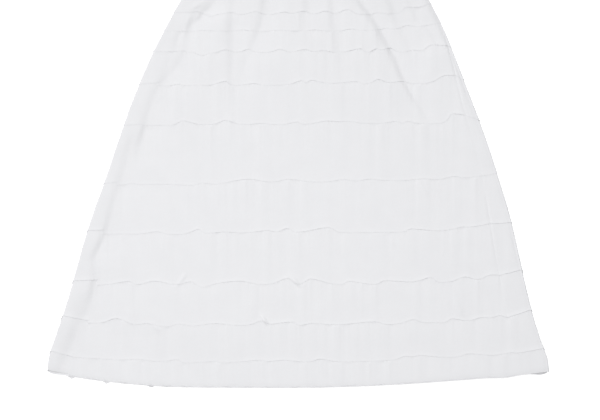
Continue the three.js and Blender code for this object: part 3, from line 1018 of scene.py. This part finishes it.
@dataclass
class BackTier(Tier):
    """The back piece of one tier: under the skirt, round both sides and over the top to the side seams."""

    wrap: float = 75.0
    seam_gap: float = -0.15
    under_wander: float = 3.0
    wander_mean: float = 0.6
    wander_waves: tuple[float, float] = (31.0, 13.0)
    flare: float = 0.6
    side_stand: float = 0.5
    lower_stand: float = 0.06
    top_stations: int = 25
    turn_stations: int = 11
    under_stations: int = 161

    def build(self, shop: Workshop) -> bpy.types.Object:
        """Make the piece.

        Args:
            shop: what makes its mesh.

        Returns:
            The shell.
        """
        plan, tier = self.plan, self.tier
        level = EDGES[tier].centre
        start, end = self.edge_lines(tier - 1), self.edge_lines(tier)
        height, below = self.levels(start, end)
        outer = self.place(below, start, end, np.zeros_like(below))
        inner = self.place(below, start, end, plan.cloth(np.maximum(end - below, 0)))
        piece = shop.shell(f"back_ruffle_{tier + 1:02d}", inner, outer, COTTON)
        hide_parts(f"back_tier_{tier + 1:02d}")
        width = float(plan.side_x(Side.RIGHT, level) - plan.side_x(Side.LEFT, level)) + self.wrap
        self.flat(width, height)
        return piece

    def stations(self) -> list[Station]:
        """The stations round the piece, from the left seam round underneath to the right one."""
        top = 0.5 - 0.5 * np.cos(math.pi * np.linspace(0, 1, self.top_stations))
        turn = np.linspace(0, 1, self.turn_stations)[1:-1]
        left, right = (
            [Station(Part.TOP, side, t) for t in top] + [Station(Part.TURN, side, t) for t in turn]
            for side in Side
        )
        under = [Station(Part.UNDER, Side.LEFT, t) for t in np.linspace(0, 1, self.under_stations)]
        return left + under + right[::-1]

    def edge_lines(self, tier: int) -> np.ndarray:
        """Where a tier's edge lies at each station."""
        plan = self.plan
        edge = EDGES[tier] if tier >= 0 else None
        level = edge.centre if edge else BAND_HEIGHT
        lines = []
        for station in self.stations():
            if station.part is Part.UNDER:
                lines.append(self.under_line(tier, station.share))
                continue
            side, on_top = station.side, station.part is Part.TOP
            share = station.share if on_top else 1.0
            seam, outer = float(plan.seam_x(side, level)), float(plan.side_x(side, level))
            ripple = float(plan.edge_below(tier, seam)) - float(plan.edge_below(tier, seam, rippled=False))
            base = float(plan.edge_below(tier, seam + (outer - seam) * share, rippled=False))
            line = base + ripple * (1 - share)
            if edge is not None:
                is_left = side is Side.LEFT
                at_seam, at_side = (edge.step, edge.left_end) if is_left else (0.0, edge.right_end)
                lift = at_seam + (at_side - at_seam) * share
                line -= lift * (1.0 if on_top else 1 - float(smooth_step(station.share)))
            lines.append(line)
        return np.array(lines)

    def under_line(self, tier: int, t: float) -> float:
        """Where a tier's edge lies underneath, at a share t from the left side to the right."""
        if tier < 0:
            return BAND_HEIGHT
        plan = self.plan
        left, right = (float(plan.side_x(side, CORNER_LEVEL)) for side in Side)
        x = left + (right - left) * t
        wander = self.under_wander * math.sin(math.pi * t) ** 0.5
        line = float(plan.edge_below(tier, x, rippled=False))
        short, long = self.wander_waves
        uneven = (1 - self.wander_mean) * math.sin(short * t + tier) * math.sin(long * t + 2 * tier)
        line -= wander * (self.wander_mean + uneven)
        if tier == len(EDGES) - 1:
            for crest in HEM_BACK:
                width = crest.left if x < crest.at else crest.right
                line -= crest.rise * float(bell((x - crest.at) / width))
        return line

    def place(self, below: np.ndarray, start: np.ndarray, end: np.ndarray, depth: np.ndarray) -> np.ndarray:
        """Place a grid of points.

        Args:
            below: rows by stations.
            start: the edge above, at each station.
            end: the free edge, at each station.
            depth: distance inside the cloth's outer face.

        Returns:
            Rows by stations by xyz.
        """
        plan, tier = self.plan, self.tier
        sink = plan.sunk(tier, below - start)
        near = np.clip(1 - (end - below) / plan.lip_reach, 0, 1) ** 2
        sag = plan.droop(tier, end - below)
        x = np.empty_like(below)
        z = np.empty_like(below)
        for i, station in enumerate(self.stations()):
            v, t, side = below[:, i], station.share, station.side
            inside = sink[:, i] + depth[:, i]
            if station.part is Part.UNDER:
                left, right = (plan.side_x(at, v) - at.value * plan.rim_under for at in Side)
                x[:, i] = left + (right - left) * t
                z[:, i] = inside
                continue
            rim = self.rim(side, v)
            outer = plan.side_x(side, v) + side.value * self.flare * near[:, i]
            turn_x = outer - side.value * rim
            if station.part is Part.TOP:
                seam = plan.seam_x(side, v) + side.value * self.seam_gap
                x[:, i] = seam + (turn_x - seam) * t
                puff = EDGES[tier].stand * (self.side_stand + self.lower_stand * tier) * near[:, i]
                wrinkle = plan.gathers(x[:, i], v - start[i], tier)
                z[:, i] = plan.height(x[:, i], v) - inside + puff + wrinkle * (1 - t) - sag[:, i]
            else:
                top = plan.height(turn_x, v) - sag[:, i]
                angle = t * math.pi
                reach = np.where(angle < math.pi / 2, rim, plan.rim_under)
                centre = outer - side.value * reach
                x[:, i] = centre + side.value * (reach - inside) * math.sin(angle)
                z[:, i] = top / 2 + (top / 2 - inside) * math.cos(angle)
        return np.stack([x, y_at(below), z], -1)

    def rim(self, side: Side, below: np.ndarray) -> np.ndarray:
        """How wide the rounding of the side is, seen from above."""
        if side is Side.LEFT:
            return np.full_like(below, self.plan.rim_left)
        plan = self.plan
        eased = smooth_step((below - plan.rim_top_end) / plan.rim_top_fade)
        return plan.rim_right_top + (plan.rim_right - plan.rim_right_top) * eased


@dataclass(frozen=True)
class Flute:
    """One of the waves that make the waistband's gathers, and the slow drift that makes it uneven."""

    length: float
    drift: float
    drift_length: float


FLUTES = table(Flute, (1.28, 1.9, 17.0), (2.03, 2.4, 29.0))


@dataclass
class Waistband:
    """The elastic waistband: one flattened ring of gathered casing with two rows of stitching."""

    plan: SkirtPlan
    height: float = BAND_HEIGHT
    around: float = 2 * (320.0 + 5.0)
    radius: float = 4.3
    wall: float = 2.2
    gather: float = 0.55
    gather_under: float = 0.9
    pinch_power: float = 0.7
    rows: int = 17
    columns: int = 520
    fullness: float = 1.35
    stitch: float = 3.0
    stitch_rows: tuple[float, float] = (9.5, 20.5)
    stitch_share: float = 0.72
    stitch_thick: float = 0.45
    stitch_lift: float = 0.08
    stitch_floor: float = 0.2

    def surface(self, turn: np.ndarray, below: np.ndarray, depth: float) -> np.ndarray:
        """Points of the ring.

        Args:
            turn: share of the way round, from the left side over the front and back underneath.
            below: distance below the waist.
            depth: distance inside the outer face.

        Returns:
            Points by xyz.
        """
        left, right = (float(self.plan.side_x(side, 0)) for side in Side)
        radius = self.radius
        flat = right - left - 2 * radius
        arc = math.pi * radius
        run = turn * (2 * flat + 2 * arc)
        pinch = np.abs(np.sin(math.pi * below / self.height)) ** self.pinch_power
        flute = self.gather * pinch * self.flutes(run)
        inside = depth + flute
        r = radius - inside
        on_top = run < flat
        on_right = (run >= flat) & (run < flat + arc)
        underneath = (run >= flat + arc) & (run < 2 * flat + arc)
        angle_right = (run - flat) / radius
        angle_left = (run - 2 * flat - arc) / radius
        left, right = left + radius, right - radius
        x = np.select(
            [on_top, on_right, underneath],
            [left + run, right + r * np.sin(angle_right), right - (run - flat - arc)],
            left - r * np.sin(angle_left),
        )
        z = np.select(
            [on_top, on_right, underneath],
            [2 * radius - inside, radius + r * np.cos(angle_right), inside - self.gather_under * flute],
            radius - r * np.cos(angle_left),
        )
        return np.stack([x, y_at(below), z], -1)

    def flutes(self, run: np.ndarray) -> np.ndarray:
        """Uneven gathers round the ring, from 0 on a ridge to 1 in a groove."""
        waves = [np.sin(run / one.length + one.drift * np.sin(run / one.drift_length)) for one in FLUTES]
        return 0.5 + 0.5 * np.mean(waves, 0)

    def build(self, shop: Workshop) -> list[bpy.types.Object]:
        """Make the ring and its stitching.

        Args:
            shop: what makes their meshes.

        Returns:
            The ring and the stitches.
        """
        rows, columns = self.rows, self.columns
        turn = np.arange(columns) / columns
        down = self.height * 0.5 * (1 - np.cos(math.pi * np.linspace(0, 1, rows)))
        grid_turn, grid_down = np.meshgrid(turn, down)
        outer = self.surface(grid_turn.ravel(), grid_down.ravel(), 0.0)
        inner = self.surface(grid_turn.ravel(), grid_down.ravel(), self.wall)
        number = np.arange(rows * columns).reshape(rows, columns)
        a, d = number[:-1], number[1:]
        b, c = np.roll(a, -1, 1), np.roll(d, -1, 1)
        under = rows * columns
        top, top_next = number[0], np.roll(number[0], -1)
        low, low_next = number[-1], np.roll(number[-1], -1)
        faces = np.concatenate([
            np.stack([a.ravel(), d.ravel(), c.ravel(), b.ravel()], 1),
            np.stack([a.ravel(), b.ravel(), c.ravel(), d.ravel()], 1) + under,
            np.stack([top, top_next, top_next + under, top + under], 1),
            np.stack([low_next, low, low + under, low_next + under], 1),
        ])
        ring = shop.creased("elastic_waistband", np.concatenate([outer, inner]), faces, BAND_COTTON)
        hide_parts("waistband")
        thread = self.stitching(shop)
        return [ring, thread]

    def stitching(self, shop: Workshop) -> bpy.types.Object:
        """Two rows of stitches that hold the elastic."""
        count = int(self.around / self.stitch)
        start = np.arange(count) / count
        stop = start + self.stitch_share / count
        rows = []
        for below in self.stitch_rows:
            level = np.full(count, below)
            ends = np.stack([self.surface(turn, level, -self.stitch_lift) for turn in (start, stop)], 1)
            ends[..., 2] = np.maximum(ends[..., 2], self.stitch_floor)
            rows.append(ends)
        thread = shop.stitches("waistband_stitching", np.concatenate(rows), self.stitch_thick, THREAD)
        return thread


@dataclass
class HemOverlock:
    """Overlocking along the hem: a zigzag of thread on the upper face, over the cut edge."""

    plan: SkirtPlan
    pitch: float = 1.9
    bite: float = 3.2
    thick: float = 0.32
    seam_gap: float = 1.0
    lift: float = 0.1
    past_edge: float = 0.15

    def build(self, shop: Workshop) -> bpy.types.Object:
        """Make the thread.

        Args:
            shop: what makes its mesh.

        Returns:
            The stitches.
        """
        plan = self.plan
        tier = len(EDGES) - 1
        left, right = (float(plan.seam_x(side, CORNER_LEVEL)) - side.value * self.seam_gap for side in Side)
        x = np.arange(left, right, self.pitch)
        line = plan.edge_below(tier, x)
        inner = line - self.bite
        top = plan.height(x, inner) - plan.droop(tier, line - inner) + self.lift
        low = plan.height(x, line) - plan.droop(tier, np.zeros_like(line))
        a = np.stack([x, y_at(inner), top], -1)
        b = np.stack([x + self.pitch * 0.5, y_at(line + self.past_edge), low], -1)
        c = np.stack([x + self.pitch, y_at(inner), np.roll(top, -1)], -1)
        c[-1, 2] = top[-1]
        ends = np.concatenate([np.stack([a, b], 1), np.stack([b, c], 1)])
        thread = shop.stitches("hem_overlock", ends, self.thick, THREAD)
        return thread


@dataclass(frozen=True)
class Studio:
    """The floor, the light and the camera straight above."""

    floor_reach: float = 4.0
    floor_drop: float = 0.0003
    view_width: float = 0.96
    view_x: float = 0.0024
    view_y: float = -0.070
    cloth_height: float = 0.006
    lens: float = 85.0
    sensor: float = 36.0
    sky: float = 0.22
    key: float = 38.5
    key_place: tuple[float, float, float] = (-0.3, 0.0, 2.5)
    key_size: float = 1.7
    sun: float = 1.12
    sun_spread: float = math.radians(45)
    sun_tilt: float = math.radians(42)
    sun_turn: float = math.radians(205)

    def build(self) -> None:
        """Set up floor, camera, lamps and background."""
        mesh = bpy.data.meshes.new("studio_floor")
        far, down = self.floor_reach, -self.floor_drop
        corners = [(-far, -far, down), (far, -far, down), (far, far, down), (-far, far, down)]
        mesh.from_pydata(corners, [], [(0, 1, 2, 3)])
        mesh.materials.append(FloorFinish().build())
        add_object("studio_floor", mesh)
        self.camera()
        self.lamp("soft_box", self.key_place, self.key_size, self.key)
        self.window()
        world = bpy.data.worlds.new("white_room")
        world.use_nodes = True
        set_inputs(world.node_tree.nodes["Background"], {"Color": (1.0, 1.0, 1.0, 1), "Strength": self.sky})
        bpy.context.scene.world = world
        bpy.context.scene.view_settings.view_transform = "Standard"
        bpy.context.scene.view_settings.look = "None"

    def camera(self) -> None:
        """Set the camera straight above the middle of the view."""
        data = bpy.data.cameras.new("camera")
        data.lens = self.lens
        data.sensor_width = self.sensor
        camera = add_object("camera", data)
        rise = self.view_width * self.lens / self.sensor
        camera.location = (self.view_x, self.view_y, self.cloth_height + rise)
        bpy.context.scene.camera = camera

    def window(self) -> None:
        """Light the skirt from a wide far window to its upper left."""
        data = bpy.data.lights.new("window", "SUN")
        data.energy = self.sun
        data.angle = self.sun_spread
        add_object("window", data).rotation_euler = (self.sun_tilt, 0, self.sun_turn)

    def lamp(self, name: str, place: tuple[float, float, float], size: float, power: float) -> None:
        """Hang a square soft lamp that looks at the skirt.

        Args:
            name: its name.
            place: where it hangs, in metres.
            size: its side.
            power: in watts.
        """
        data = bpy.data.lights.new(name, "AREA")
        data.energy = power
        data.size = size
        lamp = add_object(name, data)
        lamp.location = place
        reach = math.hypot(place[0], place[1])
        lamp.rotation_euler = (math.atan2(reach, place[2]), 0, math.atan2(place[1], place[0]) + math.pi / 2)


def main() -> None:
    """Build the skirt and its studio, in order from the table up."""
    logging.basicConfig(level=logging.INFO, format="%(message)s")
    Studio().build()
    shop = Workshop()
    plan = SkirtPlan()
    for tier in range(len(EDGES)):
        back = BackTier(plan, tier).build(shop)
        front = FrontTier(plan, tier).build(shop)
        LOG.info("tier %d: %d and %d faces", tier + 1, len(back.data.polygons), len(front.data.polygons))
    for piece in Waistband(plan).build(shop):
        LOG.info("%s: %d faces", piece.name, len(piece.data.polygons))
    thread = HemOverlock(plan).build(shop)
    LOG.info("%s: %d faces", thread.name, len(thread.data.polygons))


if __name__ == "__main__":
    main()
